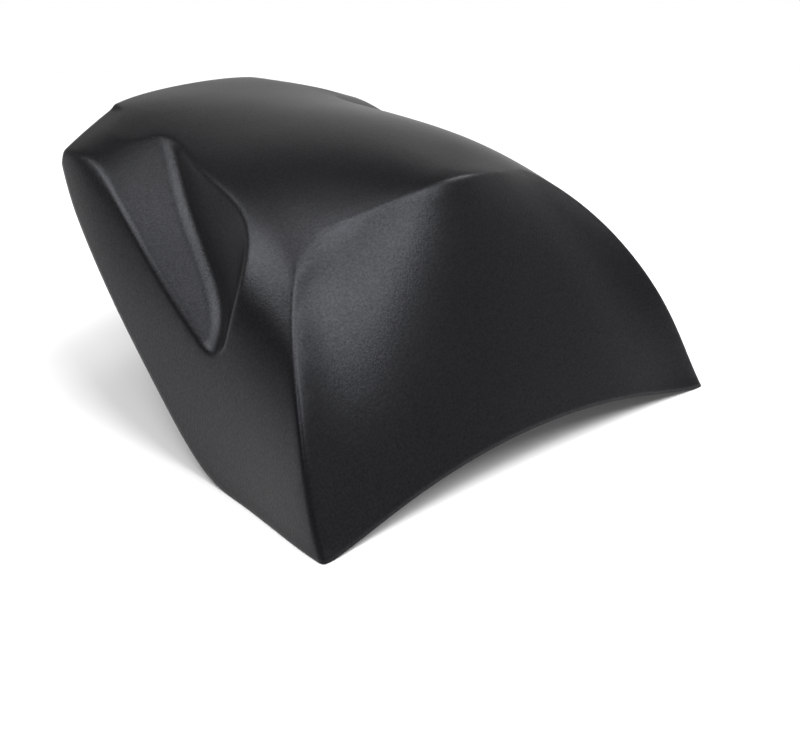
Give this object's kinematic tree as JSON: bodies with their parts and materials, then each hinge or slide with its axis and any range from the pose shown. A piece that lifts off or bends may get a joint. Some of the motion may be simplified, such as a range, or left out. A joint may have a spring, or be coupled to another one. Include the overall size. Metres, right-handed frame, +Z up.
{
  "type": "seat cowl",
  "caption": "Hollow one-piece moulded tail cowl with a leaning arched front face, crowned roof and a scooped channel along each side.",
  "frame": {"origin": "on the floor under the middle of the shell's bounding box", "axes": "+X to the right across the cowl, +Y from the front face to the tail, +Z up"},
  "size_m": [0.2614, 0.2522, 0.1369],
  "materials": {
    "satin_black": "satin black paint with a fine grain"
  },
  "bodies": {
    "root": {"cowl_shell": "satin_black"}
  },
  "joints": []
}
